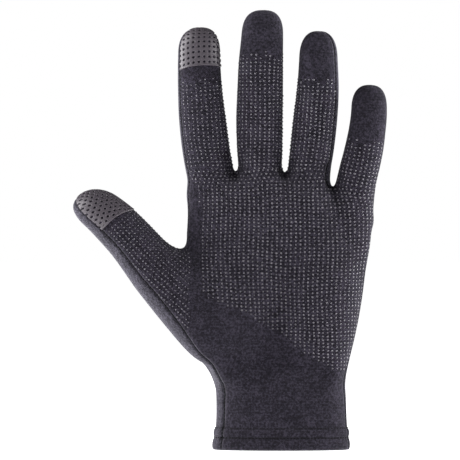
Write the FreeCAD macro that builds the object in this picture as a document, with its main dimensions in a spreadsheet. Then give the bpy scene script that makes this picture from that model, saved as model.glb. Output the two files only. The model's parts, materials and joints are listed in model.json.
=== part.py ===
"""A left-hand knitted glove with touchscreen fingertips, as a parametric FreeCAD document.

The glove stands in the shape that a hand gives it: fingers up along +Z, palm towards -Y, thumb towards -X.
The origin is the centre of the wrist opening. Sizes are in millimetres and degrees.

Two panels of stretch knit, a palm panel and a back panel, are sewn together round the outline of the hand.
Each finger bends at three creases and the thumb at two, so both panels are divided there into one piece
for each length of finger. A finger is a tube of elliptical section in a frame of its own: its +Z runs along
the finger from the level of the web, and its -Y is the palm side. The crease that it bends about lies on
the palm-side surface, because that is where the cloth folds.
"""

import FreeCAD, Part
import os

PALM, BACK = "palm", "back"
BIG = 400.0                     # a cutter's size, larger than the glove
HALF_TURN = 180.0

doc = FreeCAD.newDocument("touchscreen_glove")
sizes = doc.addObject("Spreadsheet::Sheet", "Sizes")
cell_row = 0
finished = []                   # the sub-parts, in the order they are made


# ---------------------------------------------------------------- driving dimensions

def driving(alias, value):
    """Keeps one driving dimension in the sheet, under a name that expressions can use."""
    global cell_row
    cell_row += 1
    sizes.set(f"A{cell_row}", alias)
    sizes.set(f"B{cell_row}", str(value))
    sizes.setAlias(f"B{cell_row}", alias)


CLOTH = {
    "cloth": 0.9,               # thickness of the brushed stretch knit
    "crease_gap": 0.3,          # clearance between the panels of two lengths of finger
    "layer_gap": 0.05,          # clearance between layers that lie on each other
    "print_height": 0.35,       # thickness of the silicone grip print
    "patch_height": 0.4,        # thickness of the touchscreen patch
    "seam_width": 1.8,          # the overlocked edge inside, across the seam
    "seam_depth": 0.8,          # and how far it stands into the glove
    "hem_height": 12.0,         # turned-up hem at the wrist
    "stitch_height": 0.7,       # one row of hem stitching, along Z
    "stitch_proud": 0.3,        # how far the thread stands out of the cloth
    "stitch_row_low": 6.3,      # the two rows of a twin-needle coverstitch
    "stitch_row_high": 11.2,
}

# Cross-sections of the hand, from the wrist opening to the level of the finger webs:
# height, centre across, half width, half depth.
HAND_SECTIONS = (
    (0.0, 0.0, 35.3, 15.2),
    (12.0, 0.2, 34.0, 14.8),
    (31.0, 0.0, 33.1, 15.0),
    (58.0, -1.0, 38.0, 15.6),
    (100.0, -1.8, 46.6, 14.6),
    (122.0, -0.4, 47.6, 12.4),
    (134.5, 0.0, 49.0, 9.8),
    (140.5, 0.0, 47.6, 4.6),
)
WEB_SLOPE = 6.0                 # the webs come lower towards the little finger

# A finger's own frame and its stations. "at" is the middle of its base in X, Y, Z; "lean" turns it towards
# +X; "roll" turns its pad about its own length. Stations are distances along the finger.
FINGERS = {
    "index": dict(at=(-37.6, 0.0, 142.8), lean=-4.2, roll=0.0, root=-18.0, creases=(9.0, 31.0, 51.0),
                  shoulder=62.5, tip=72.6, half_widths=(12.4, 11.6, 10.8, 10.3), flatness=0.72),
    "middle": dict(at=(-11.0, 0.0, 142.4), lean=0.8, roll=0.0, root=-18.0, creases=(9.0, 35.0, 58.0),
                   shoulder=73.0, tip=82.3, half_widths=(11.7, 11.8, 11.3, 10.7), flatness=0.72),
    "ring": dict(at=(14.6, 0.0, 141.8), lean=4.8, roll=0.0, root=-18.0, creases=(9.0, 33.0, 54.5),
                 shoulder=62.6, tip=72.4, half_widths=(11.2, 10.8, 10.4, 9.9), flatness=0.72),
    "little": dict(at=(37.8, 0.0, 132.7), lean=8.5, roll=0.0, root=-15.0, creases=(9.0, 25.5, 41.0),
                   shoulder=45.8, tip=54.4, half_widths=(10.4, 9.6, 9.2, 8.9), flatness=0.74),
    "thumb": dict(at=(-63.8, -4.0, 92.7), lean=-41.5, roll=45.0, root=-74.0, creases=(8.0, 28.0),
                  shoulder=43.0, tip=53.6, half_widths=(13.4, 12.0, 11.6), flatness=0.8),
}
# Where the thumb swells into the palm: station and half width, from the wrist up.
THUMB_HEEL = ((-56.0, 14.6), (-24.0, 16.0))
ROOT_SHARE = 0.8                # a root's width where it starts inside the hand, as a share of its next
WEB_DEPTH = 3.0                 # how far below its own base a finger has its full width
SEGMENTS = ("base", "middle", "tip")
THUMB_SEGMENTS = ("base", "tip")
# The lengths of finger that carry grip print. Every fingertip is left bare.
PRINTED = ("index_base", "index_middle", "middle_base", "middle_middle", "ring_base", "ring_middle",
           "little_base", "thumb_base")
PATCH_EDGES = {"index": 52.6, "thumb": 29.0}    # where each touchscreen patch starts along its finger

# A fingertip's sections: shares of its straight length, then angles round its rounded end in degrees.
STRAIGHT_SHARES = (0.35, 0.7, 0.92)
DOME_ANGLES = (12, 35, 60, 80)

# The edge of the print on the palm, as (across, up): a bare crease runs round the ball of the thumb, and
# the print stops along a slant above the wrist.
PALM_PRINT_EDGE = ((-52.0, 142.0), (-52.0, 118.0), (-40.0, 110.0), (-35.0, 96.0), (-24.0, 74.0),
                   (-3.0, 60.0), (20.0, 46.0), (52.0, 36.0), (52.0, 131.0))
THUMB_PRINT_EDGE = ((-75.0, 90.0), (-60.0, 103.0), (-47.0, 96.0), (-45.0, 80.0), (-48.0, 63.0))

for alias, value in CLOTH.items():
    driving(alias, value)
driving("web_slope", WEB_SLOPE)
for i, section in enumerate(HAND_SECTIONS):
    for label, value in zip(("rise", "across", "half_width", "half_depth"), section):
        driving(f"hand_{label}_{i}", value)
for finger, shape in FINGERS.items():
    for label, value in zip("xyz", shape["at"]):
        driving(f"{finger}_at_{label}", value)
    for label in ("lean", "roll", "root", "shoulder", "tip", "flatness"):
        driving(f"{finger}_{label}", shape[label])
    for i, station in enumerate(shape["creases"]):
        driving(f"{finger}_crease_{i}", station)
    for i, half_width in enumerate(shape["half_widths"]):
        driving(f"{finger}_half_width_{i}", half_width)
for finger, station in PATCH_EDGES.items():
    driving(f"{finger}_patch_edge", station)
for i, (station, half_width) in enumerate(THUMB_HEEL):
    driving(f"thumb_heel_{i}", station)
    driving(f"thumb_heel_half_width_{i}", half_width)
driving("root_share", ROOT_SHARE)
driving("web_depth", WEB_DEPTH)
doc.recompute()


def cell(alias):
    return f"Sizes.{alias}"


# ---------------------------------------------------------------- building blocks

def ellipse(name, across, rise, half_width, half_depth, turn="0", about=(0, 0, 1)):
    """A section in a level plane. Every argument but about is an expression."""
    section = doc.addObject("Part::Ellipse", name)
    section.setExpression("MajorRadius", half_width)
    section.setExpression("MinorRadius", half_depth)
    place(section, across, "0", rise, turn, about)
    return section


def place(thing, x, y, z, turn="0", about=(0, 0, 1)):
    """Binds a Placement to expressions: where it is, and its turn about one axis."""
    thing.Placement = FreeCAD.Placement(FreeCAD.Vector(), FreeCAD.Rotation(FreeCAD.Vector(*about), 1))
    thing.setExpression("Placement.Base.x", x)
    thing.setExpression("Placement.Base.y", y)
    thing.setExpression("Placement.Base.z", z)
    for part, value in zip("xyz", about):
        thing.setExpression(f"Placement.Rotation.Axis.{part}", str(value))
    thing.setExpression("Placement.Rotation.Angle", turn)


def loft(name, sections, ruled=False):
    body = doc.addObject("Part::Loft", name)
    body.Sections = sections
    body.Solid = True
    body.Ruled = ruled
    return body


def cut(name, base, tool):
    result = doc.addObject("Part::Cut", name)
    result.Base, result.Tool = base, tool
    return result


def common(name, base, tool):
    result = doc.addObject("Part::Common", name)
    result.Base, result.Tool = base, tool
    return result


def fuse(name, things):
    result = doc.addObject("Part::MultiFuse", name)
    result.Shapes = things
    return result


def half_space(name, side, roll="0", low="0"):
    """Half a cylinder on the palm side or the back side of an upright plane, from the height low up."""
    half = doc.addObject("Part::Cylinder", name)
    half.Radius = BIG
    half.Height = BIG
    half.Angle = HALF_TURN
    quarter = HALF_TURN if side == PALM else 0.0
    place(half, "0", "0", low, f"{quarter} + {roll}")
    return half


def slab(name, thickness, low, high, roll="0"):
    """A plate on the seam plane, thickness deep, between two heights."""
    plate = doc.addObject("Part::Box", name)
    plate.Length = 2 * BIG
    plate.setExpression("Width", thickness)
    plate.setExpression("Height", f"({high}) - ({low})")
    x = f"-{BIG} * cos({roll}) + {thickness} / 2 * sin({roll})"
    y = f"-{BIG} * sin({roll}) - {thickness} / 2 * cos({roll})"
    place(plate, x, y, low, roll)
    return plate


def band_between(name, low, high):
    """Everything between two heights."""
    band = doc.addObject("Part::Cylinder", name)
    band.Radius = BIG
    band.setExpression("Height", f"({high}) - ({low})")
    place(band, "0", "0", low)
    return band


def finish(thing, label):
    """Names a finished sub-part, which is also its file's name."""
    thing.Label = label
    finished.append(thing)
    return thing


# ---------------------------------------------------------------- fingers and thumb

def segments_of(finger):
    return THUMB_SEGMENTS if finger == "thumb" else SEGMENTS


def segment_loft(finger, segment, inset, tag):
    """The solid tube of one length of finger, its surface moved in by inset, an expression."""
    order = segments_of(finger).index(segment)
    low = f"{cell(f'{finger}_crease_{order}')} + {cell('crease_gap')} / 2"
    flat, roll = cell(f"{finger}_flatness"), cell(f"{finger}_roll")

    def section(name, rise, half_width, share="1"):
        return ellipse(f"{finger}_{segment}_{tag}_{name}", "0", rise, f"({half_width} - ({inset})) * {share}",
                       f"({half_width} * {flat} - ({inset})) * {share}", roll)

    at_low = section("low", low, cell(f"{finger}_half_width_{order}"))
    if segment != "tip":
        high = f"{cell(f'{finger}_crease_{order + 1}')} - {cell('crease_gap')} / 2"
        at_high = section("high", high, cell(f"{finger}_half_width_{order + 1}"))
        return loft(f"{finger}_{segment}_{tag}", [at_low, at_high], ruled=True)
    shoulder, tip = cell(f"{finger}_shoulder"), cell(f"{finger}_tip")
    width = cell(f"{finger}_half_width_{order + 1}")
    sections = [at_low]
    low_width = cell(f"{finger}_half_width_{order}")
    for i, share in enumerate(STRAIGHT_SHARES):
        rise = f"{low} + {share} * ({shoulder} - ({low}))"
        sections.append(section(f"straight{i}", rise, f"({low_width} + {share} * ({width} - {low_width}))"))
    for angle in DOME_ANGLES:
        rise = f"{shoulder} + sin({angle}) * ({tip} - {shoulder} - ({inset}))"
        sections.append(section(f"dome{angle}", rise, width, f"cos({angle})"))
    return loft(f"{finger}_{segment}_{tag}", sections)


def stand(thing, finger):
    """Moves a piece from its finger's own frame to where the finger is on the hand."""
    at = [cell(f"{finger}_at_{axis}") for axis in "xyz"]
    place(thing, *at, turn=cell(f"{finger}_lean"), about=(0, 1, 0))


def build_segment(finger, segment):
    """One length of finger: its palm and back panels, the seam inside, and what is printed or laid on it."""
    name = f"{finger}_{segment}"
    roll = cell(f"{finger}_roll")
    gap, cloth = cell("layer_gap"), cell("cloth")
    outer = segment_loft(finger, segment, "0", "outer")
    inner = segment_loft(finger, segment, cloth, "inner")
    shell = cut(f"{name}_shell", outer, inner)
    for side in (PALM, BACK):
        panel = common(f"{name}_{side}", shell, half_space(f"{name}_{side}_half", side, roll))
        stand(panel, finger)
        finish(panel, f"{side}_panel_{name}")

    seam_outer = segment_loft(finger, segment, f"{cloth} + {gap}", "seam_outer")
    seam_inner = segment_loft(finger, segment, f"{cloth} + {gap} + {cell('seam_depth')}", "seam_inner")
    seam_ring = cut(f"{name}_seam_ring", seam_outer, seam_inner)
    seam = common(f"{name}_seam", seam_ring, slab(f"{name}_seam_slab", cell("seam_width"), "0", str(BIG), roll))
    stand(seam, finger)
    finish(seam, f"seam_{name}")

    if name in PRINTED:
        layer(finger, segment, "grip_print_" + name, cell("print_height"), "0")
    if segment == "tip" and finger in PATCH_EDGES:
        layer(finger, segment, f"touch_patch_{finger}", cell("patch_height"), cell(f"{finger}_patch_edge"))


def layer(finger, segment, label, height, low):
    """A thin layer on the palm side of a length of finger, from the station low up."""
    top = segment_loft(finger, segment, f"-{cell('layer_gap')} - {height}", label + "_top")
    underside = segment_loft(finger, segment, f"-{cell('layer_gap')}", label + "_underside")
    skin = cut(label + "_skin", top, underside)
    half = half_space(label + "_half", PALM, cell(f"{finger}_roll"), low)
    piece = common(label, skin, half)
    stand(piece, finger)
    finish(piece, label)


# ---------------------------------------------------------------- the hand

def hand_loft(inset, tag):
    """The solid hand from the wrist opening to the webs, its surface moved in by inset."""
    sections = []
    last = len(HAND_SECTIONS) - 1
    for i in range(len(HAND_SECTIONS)):
        sloping = i >= last - 1
        rise = cell(f"hand_rise_{i}") + (f" - ({inset})" if i == last else "")
        sections.append(ellipse(
            f"hand_{tag}_{i}", cell(f"hand_across_{i}"), rise,
            f"{cell(f'hand_half_width_{i}')} - ({inset})", f"{cell(f'hand_half_depth_{i}')} - ({inset})",
            cell("web_slope") if sloping else "0", (0, 1, 0)))
    return loft(f"hand_{tag}", sections)


def root_loft(finger, inset, tag):
    """The tube that joins a finger or the thumb to the hand, up to its first crease."""
    flat, roll = cell(f"{finger}_flatness"), cell(f"{finger}_roll")
    high = f"{cell(f'{finger}_crease_0')} - {cell('crease_gap')} / 2"
    width = cell(f"{finger}_half_width_0")
    stations = [(high, width)]
    if finger == "thumb":
        heel = [(cell(f"thumb_heel_{i}"), cell(f"thumb_heel_half_width_{i}")) for i in range(len(THUMB_HEEL))]
        stations = heel + stations
    else:
        stations = [(f"-{cell('web_depth')}", width)] + stations
    stations = [(cell(f"{finger}_root"), f"{stations[0][1]} * {cell('root_share')}")] + stations
    sections = [
        ellipse(f"{finger}_root_{tag}_{i}", "0", rise, f"{half} - ({inset})",
                f"{half} * {flat} - ({inset})", roll)
        for i, (rise, half) in enumerate(stations)
    ]
    tube = loft(f"{finger}_root_{tag}", sections)
    stand(tube, finger)
    return tube


def whole_hand(inset, tag):
    """Hand and roots of the fingers as one solid, its surface moved in by inset."""
    roots = [root_loft(finger, inset, tag) for finger in FINGERS]
    return fuse(f"whole_{tag}", [hand_loft(inset, tag)] + roots)


def upright_region(name, edge):
    """A region of the palm, drawn in the XZ plane and extruded through the palm side."""
    points = [FreeCAD.Vector(x, 0, z) for x, z in edge]
    outline = Part.makePolygon(points + points[:1])
    region = doc.addObject("Part::Feature", name)
    region.Shape = Part.Face(outline).extrude(FreeCAD.Vector(0, -BIG, 0))
    return region


def build_hand():
    gap, cloth = cell("layer_gap"), cell("cloth")
    shell = cut("hand_shell", whole_hand("0", "outer"), whole_hand(cloth, "inner"))
    for side in (PALM, BACK):
        low = f"-{BIG / 2}"
        panel = common(f"hand_{side}", shell, half_space(f"hand_{side}_half", side, low=low))
        finish(panel, f"{side}_panel_hand")

    # The turned-up hem lies inside the panels at the wrist.
    hem_outer = hand_loft(f"{cloth} + {gap}", "hem_outer")
    hem_inner = hand_loft(f"2 * {cloth} + {gap}", "hem_inner")
    hem_ring = cut("hem_ring", hem_outer, hem_inner)
    finish(common("hem", hem_ring, band_between("hem_band", "0", cell("hem_height"))), "hem_turn_up")

    # Two rows of thread round the hem.
    thread_outer = hand_loft(f"-{gap} - {cell('stitch_proud')}", "thread_outer")
    thread_inner = hand_loft(f"-{gap}", "thread_inner")
    thread_skin = cut("thread_skin", thread_outer, thread_inner)
    rows = []
    for row in ("low", "high"):
        middle, half = cell(f"stitch_row_{row}"), f"{cell('stitch_height')} / 2"
        rows.append(band_between(f"thread_band_{row}", f"{middle} - {half}", f"{middle} + {half}"))
    finish(common("hem_thread", thread_skin, fuse("thread_bands", rows)), "hem_stitching")

    # The overlocked seams down both sides, inside, above the hem.
    seam_outer = hand_loft(f"{cloth} + {gap}", "seam_outer")
    seam_inner = hand_loft(f"{cloth} + {gap} + {cell('seam_depth')}", "seam_inner")
    seam_ring = cut("hand_seam_ring", seam_outer, seam_inner)
    high = f"{cell('thumb_at_z')} / 2"
    seam_slab = slab("hand_seam_slab", cell("seam_width"), f"{cell('hem_height')} + {gap}", high)
    finish(common("hand_seam", seam_ring, seam_slab), "side_seams_wrist")

    # The grip print on the palm and on the ball of the thumb, in two regions with a bare crease between.
    print_skin = cut("print_skin", whole_hand(f"-{gap} - {cell('print_height')}", "print_top"),
                     whole_hand(f"-{gap}", "print_underside"))
    for label, edge in (("grip_print_palm", PALM_PRINT_EDGE), ("grip_print_thumb_root", THUMB_PRINT_EDGE)):
        finish(common(label, print_skin, upright_region(label + "_region", edge)), label)


# ---------------------------------------------------------------- make, check and write

build_hand()
for finger in FINGERS:
    for segment in segments_of(finger):
        build_segment(finger, segment)
doc.recompute()

failed = [o.Name for o in doc.Objects if {"Invalid", "Error"} & set(o.State)]
if failed:
    raise RuntimeError(f"these objects failed: {failed}")
for piece in finished:
    if piece.Shape.isNull() or not piece.Shape.isValid() or not piece.Shape.Solids:
        raise RuntimeError(f"{piece.Label} has no valid solid")

os.makedirs("parts", exist_ok=True)
for piece in finished:
    piece.Shape.exportStep(f"parts/{piece.Label}.step")
    print(piece.Label, len(piece.Shape.Solids), "solids", round(piece.Shape.Volume, 1), "mm3")
print(len(finished), "sub-parts")
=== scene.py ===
"""A left-hand knitted glove with touchscreen fingertips, for Blender 4.5.

The cloth is one smooth surface, found as the zero level of a field that joins a tube for the hand and one for
each finger and the thumb. It is cut into a palm panel and a back panel along the sewn seam, and across each
finger between its creases, into one piece for each of the finger's segments. Lengths in this script are
millimetres in the part's frame, and meshes are written in metres.
"""

import json
import math

import bpy
import numpy as np
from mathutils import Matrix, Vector


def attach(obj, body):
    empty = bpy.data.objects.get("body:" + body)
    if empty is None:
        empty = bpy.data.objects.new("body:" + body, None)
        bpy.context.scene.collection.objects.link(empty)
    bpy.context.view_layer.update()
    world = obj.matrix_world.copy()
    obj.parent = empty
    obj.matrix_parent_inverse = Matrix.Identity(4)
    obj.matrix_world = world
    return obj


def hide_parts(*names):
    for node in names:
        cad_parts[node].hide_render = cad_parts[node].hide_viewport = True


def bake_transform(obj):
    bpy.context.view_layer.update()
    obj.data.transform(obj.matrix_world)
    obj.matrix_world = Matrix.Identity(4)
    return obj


MM = 0.001
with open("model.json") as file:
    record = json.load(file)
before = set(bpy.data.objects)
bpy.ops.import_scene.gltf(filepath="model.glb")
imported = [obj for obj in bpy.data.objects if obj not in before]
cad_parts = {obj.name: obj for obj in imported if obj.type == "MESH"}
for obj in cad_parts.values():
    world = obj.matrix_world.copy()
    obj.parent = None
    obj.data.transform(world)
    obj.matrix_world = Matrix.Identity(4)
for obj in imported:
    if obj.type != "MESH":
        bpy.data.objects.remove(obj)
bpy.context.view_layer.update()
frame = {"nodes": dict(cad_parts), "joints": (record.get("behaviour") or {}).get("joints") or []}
STEP = 0.65        # spacing of the grid that the surface is found on


# ---------------- dimensions

def turn(axis, degrees):
    """A rotation matrix about an axis."""
    c, s = math.cos(math.radians(degrees)), math.sin(math.radians(degrees))
    x, y, z = axis
    cross = np.array([[0, -z, y], [z, 0, -x], [-y, x, 0]], float)
    return np.eye(3) * c + s * cross + (1 - c) * np.outer(axis, axis)


def eased(knots):
    """A smooth function through a short list of (station, value, value, ...)."""
    knots = np.array(knots, float)
    at, values = knots[:, 0], knots[:, 1:]
    slopes = np.gradient(values, at, axis=0)
    fine = np.linspace(at[0], at[-1], 241)
    i = np.clip(np.searchsorted(at, fine) - 1, 0, len(at) - 2)
    width = at[i + 1] - at[i]
    t = ((fine - at[i]) / width)[:, None]
    h = width[:, None]
    smooth = ((2 * t**3 - 3 * t**2 + 1) * values[i] + (t**3 - 2 * t**2 + t) * h * slopes[i]
              + (-2 * t**3 + 3 * t**2) * values[i + 1] + (t**3 - t**2) * h * slopes[i + 1])
    return lambda s: [np.interp(s, fine, column) for column in smooth.T]


class Tube:
    """A closed tube with a changing section and rounded ends, in a frame of its own.

    stations are (along, centre across, centre depth, half width, half depth). roll turns the section about
    the tube's length. low and high are (where the rounded end starts, its length, its bluntness).
    """

    def __init__(self, stations, low, high, at=(0, 0, 0), lean=0.0, roll=0.0, bluntness=2.0):
        self.at = np.array(at, float)
        self.axes = turn((0, 1, 0), lean)
        self.section = eased(stations)
        self.low, self.high = low, high
        self.roll = math.radians(roll)
        self.bluntness = bluntness

    def local(self, p):
        return (p - self.at) @ self.axes

    def distance(self, p):
        across, depth, along = self.local(p).T
        centre, centre_depth, half_width, half_depth = self.section(along)
        u, v = across - centre, depth - centre_depth
        c, s = math.cos(self.roll), math.sin(self.roll)
        u, v = c * u + s * v, -s * u + c * v
        m = self.bluntness
        us, vs = np.abs(u) / half_width, np.abs(v) / half_depth
        q = np.maximum((us**m + vs**m) ** (1 / m), 1e-4)
        slope_u = (us / q) ** (m - 1) / half_width
        slope_v = (vs / q) ** (m - 1) / half_depth
        past_low = np.maximum(self.low[0] - along, 0) / self.low[1]
        past_high = np.maximum(along - self.high[0], 0) / self.high[1]
        past = past_low + past_high
        n = np.where(past_high > 0, self.high[2], self.low[2])
        length = np.where(past_high > 0, self.high[1], self.low[1])
        whole = (q**n + past**n) ** (1 / n)
        share_q = (q / whole) ** (n - 1)
        share_past = (past / whole) ** (n - 1) / length
        steep = np.sqrt(share_q**2 * (slope_u**2 + slope_v**2) + share_past**2)
        return (whole - 1) / np.maximum(steep, 1e-3)


HAND = Tube(
    [(-12, 0.0, 0.0, 35.3, 15.2), (0, 0.0, 0.0, 34.6, 15.0), (12, 0.2, 0.0, 33.6, 14.7),
     (27, 0.0, 0.2, 33.2, 14.2), (34, -0.3, 0.4, 33.2, 13.9), (46, -0.4, 0.6, 34.6, 13.6),
     (57, -0.8, 0.6, 37.2, 13.4), (67, -1.0, 0.4, 39.7, 13.4), (80, -1.4, 0.2, 42.8, 13.2),
     (92, -1.7, 0.0, 45.0, 12.8), (107, -1.2, 0.0, 47.0, 12.0), (122, -0.5, 0.0, 46.9, 11.0),
     (135, 0.9, 0.0, 46.8, 9.4), (150, 0.9, 0.0, 47.6, 8.2)],
    low=(-30, 10, 2.0), high=(200, 10, 2.0), bluntness=2.35)
# How high the webs between the fingers come, across the hand.
WEB_LINE = eased([(-60, 138), (-38, 139), (-23, 139.5), (2, 139), (14, 135), (26, 124), (38, 123.5), (60, 122)])
WEB_ROUND = 8.0

FINGERS = {
    "index": Tube(
        [(124, -36.0, 0.0, 9.0, 7.6), (134, -36.1, 0.0, 10.8, 8.6), (144, -36.8, 0.0, 12.2, 9.0),
         (153, -38.3, 0.0, 12.2, 8.9), (168, -40.1, 0.0, 12.0, 8.7), (184, -41.4, 0.0, 11.3, 8.3),
         (199, -41.9, 0.0, 10.8, 7.9), (208, -42.0, 0.2, 10.4, 7.6), (217, -41.5, 0.6, 10.2, 7.4)],
        low=(130, 8, 2.0), high=(202.5, 13.0, 2.6), bluntness=2.15),
    "middle": Tube(
        [(124, -11.0, 0.0, 9.6, 7.6), (134, -11.0, 0.0, 10.8, 8.7), (144, -10.8, 0.0, 11.2, 9.1),
         (156, -11.0, 0.0, 11.7, 9.0), (168, -11.1, 0.0, 11.9, 8.9), (184, -10.7, 0.0, 11.7, 8.6),
         (199, -10.3, 0.0, 11.3, 8.3), (212, -9.6, 0.2, 10.7, 7.8), (226, -9.2, 0.6, 10.2, 7.4)],
        low=(130, 8, 2.0), high=(211.5, 13.2, 2.7), bluntness=2.15),
    "ring": Tube(
        [(122, 14.0, 0.0, 9.4, 7.4), (132, 14.2, 0.0, 10.5, 8.5), (144, 14.6, 0.0, 11.0, 8.9),
         (153, 15.8, 0.0, 11.2, 8.8), (168, 17.4, 0.0, 11.3, 8.5), (184, 18.8, 0.0, 10.7, 8.1),
         (199, 19.1, 0.2, 9.9, 7.6), (208, 19.1, 0.4, 9.5, 7.3), (216, 19.1, 0.6, 9.3, 7.1)],
        low=(128, 8, 2.0), high=(200.5, 13.5, 2.45), bluntness=2.15),
    "little": Tube(
        [(112, 36.6, 0.0, 9.0, 7.0), (124, 37.2, 0.0, 10.0, 7.8), (135, 38.1, 0.0, 10.4, 8.1),
         (144, 40.1, 0.0, 10.4, 8.0), (153, 42.2, 0.0, 10.1, 7.7), (162, 43.8, 0.0, 9.6, 7.4),
         (170, 44.8, 0.1, 9.3, 7.1), (179, 45.1, 0.4, 9.0, 6.8), (188, 45.3, 0.6, 8.9, 6.7)],
        low=(118, 8, 2.0), high=(174.5, 12.0, 2.5), bluntness=2.15),
}
THUMB_ROLL = 45.0
THUMB = Tube(
    [(-76, 1.0, 2.0, 10.6, 7.6), (-64, -0.4, 1.5, 15.2, 10.8), (-52, -0.4, 0.5, 17.0, 12.8),
     (-40, -0.4, 0.0, 17.8, 13.4), (-24, -0.2, 0.0, 17.6, 13.4), (-9, 0.0, 0.0, 17.0, 13.0),
     (0, -0.4, 0.0, 15.7, 12.4), (8, -0.5, 0.0, 14.3, 11.8), (20, -0.2, 0.0, 13.1, 11.3),
     (30, -0.6, 0.0, 12.6, 10.9), (40, -1.8, 0.0, 11.8, 10.2), (46, -3.0, 0.2, 11.4, 9.7),
     (56, -5.8, 0.4, 11.0, 9.1)],
    low=(-64, 12, 2.0), high=(40.5, 13.2, 2.3), at=(-63.8, -4.0, 92.7), lean=-41.5, roll=THUMB_ROLL)
# The muscle pads of the palm: centre, half sizes, lean.
PADS = (
    ((-30, -7.0, 70), (17, 10.0, 33), -34),
    ((22, -5.0, 69), (14.5, 9.8, 35), 6),
    ((-2, -3.0, 127), (41.5, 8.6, 12), 4),
)

# Soft folds and hollows of the palm side: across and up where each starts and ends, its width and its height.
FOLDS = (
    (-34, 45, -13, 47.5, 8.0, -2.8), (2, 47, 20, 41, 7.0, -2.2), (19, 36, 4, 19, 6.0, -1.2),
    (-21, 34, -18, 16, 8.0, 1.0), (24, 34, 27, 14, 6.0, 0.4), (-34, 60, -8, 84, 9.0, 1.0),
    (-8, 56, 6, 92, 8.0, -0.9), (-44, 92, -39, 128, 6.0, -0.7), (-2, 199, -2.5, 176, 2.0, 0.45),
    (-6, 177, -8, 158, 2.2, 0.5), (-14, 170, -11.5, 150, 2.4, -0.35), (-21, 165, -15, 160, 2.0, -0.6),
    (-16, 160, -19, 147, 2.2, -0.6), (17, 196, 15.5, 150, 2.4, 0.4), (24, 192, 22.5, 152, 2.2, 0.4),
    (12, 180, 11, 150, 2.2, -0.4), (-41, 190, -37, 146, 3.2, 0.4), (-30, 152, -24, 139, 3.2, -1.3),
    (-19, 152, -22, 140, 2.4, -0.8), (-14, 146, -6, 138, 4.0, 0.5), (-3, 152, 1, 139, 2.4, -0.9),
    (8, 150, 3, 139, 2.6, -1.0), (22, 144, 27, 129, 3.2, -1.3), (31, 140, 28, 128, 2.6, -1.0),
    (-20, 112, 30, 108, 9.0, -0.5), (-26, 124, 34, 122, 6.0, 0.35),
)

# Each finger's own frame, as the CAD has it: its hinges' stations are read from the joints.
FINGER_FRAMES = {
    "index": ((-37.6, 0.0, 142.8), -4.2),
    "middle": ((-11.0, 0.0, 142.4), 0.8),
    "ring": ((14.6, 0.0, 141.8), 4.8),
    "little": ((37.8, 0.0, 132.7), 8.5),
    "thumb": ((-63.8, -4.0, 92.7), -41.5),
}
# How far the seam is turned round each finger: positive shows the back panel on the thumb's side.
SEAM_TURN = {"index": 20.0, "middle": 4.0, "ring": -26.0, "little": -8.0}
SEGMENTS = {name: ("base", "tip") if name == "thumb" else ("base", "middle", "tip") for name in FINGER_FRAMES}
PIECES = [(name, order) for name, segments in SEGMENTS.items() for order in range(len(segments))]
HAND_PIECE = -1                           # stands for the hand where a piece's place in PIECES is asked for
FIRST_CUT = 1.0                           # station where a finger's first piece leaves the hand's
TUBES = {**FINGERS, "thumb": THUMB}
NAMES = ["hand"] + list(TUBES)
LOW, HIGH = np.array([-114.0, -26.0, -6.0]), np.array([60.0, 24.0, 230.0])
CLOTH = 0.95                              # thickness of the knit
HEM_EDGE = 0.9                            # the cloth's lower edge, above the rounded fold
HEM_TOP = 12.0                            # top of the turned-up band inside
LOWER_ROW, UPPER_ROW = 6.4, 11.3          # heights of the two rows of stitches
HEM_SWELL = 0.95                          # how far the double cloth stands out between them
STITCH_PITCH = 1.75                       # along the hem and along the seam
FAR_FROM_SEAM = 9.0                       # for cloth that has no seam near it
GROOVE_DEPTH, GROOVE_WIDTH = 0.38, 0.65   # the dip where the panels are sewn together


# ---------------- the field

def smooth_min(a, b, k):
    h = np.maximum(k - np.abs(a - b), 0) / k
    return np.minimum(a, b) - h * h * k / 4


def pad_distance(p, pad):
    centre, half, lean = pad
    q = ((p - np.array(centre)) @ turn((0, 1, 0), lean)) / np.array(half)
    k0 = np.linalg.norm(q, axis=1)
    k1 = np.linalg.norm(q / np.array(half), axis=1)
    return k0 * (k0 - 1) / np.maximum(k1, 1e-6)


def hand_distance(p):
    """The hand's tube, rounded off along the line of the webs."""
    side = HAND.distance(p)
    over = np.maximum(p[:, 2] - (WEB_LINE(p[:, 0])[0] - WEB_ROUND), 0)
    depth = HAND.section(p[:, 2])[3]
    return np.where(over > 0, np.hypot(np.maximum(side + depth, 0), over * depth / WEB_ROUND) - depth, side)


def parts_at(p):
    """Distances to the hand, the fingers and the thumb, in the order of NAMES."""
    return [hand_distance(p)] + [tube.distance(p) for tube in TUBES.values()]


def join(parts, p):
    hand, *fingers, thumb = parts
    for pad in PADS:
        hand = smooth_min(hand, pad_distance(p, pad), 9.0)
    tips = fingers[0]
    for other in fingers[1:]:
        tips = smooth_min(tips, other, 1.5)
    return smooth_min(smooth_min(hand, tips, 5.0), thumb, 9.0)


def relief(p):
    """How far the folds raise the palm side."""
    raised = np.zeros(len(p))
    for x0, z0, x1, z1, width, height in FOLDS:
        along, across = np.array([x1 - x0, z1 - z0], float), p[:, [0, 2]] - (x0, z0)
        t = np.clip(across @ along / (along @ along), 0, 1)
        away = ((across - t[:, None] * along) ** 2).sum(1)
        raised += height * np.exp(-away / width**2)
    return raised / (1 + np.exp(np.clip((p[:, 1] + 2.0) * 1.2, -40, 40)))


def field(p):
    value = join(parts_at(p), p)
    near = np.abs(value) < 4.0
    value[near] -= relief(p[near])
    return value


def gradient(p, reach=0.05):
    return np.stack([(field(p + reach * e) - field(p - reach * e)) / (2 * reach) for e in np.eye(3)], axis=1)


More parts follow.
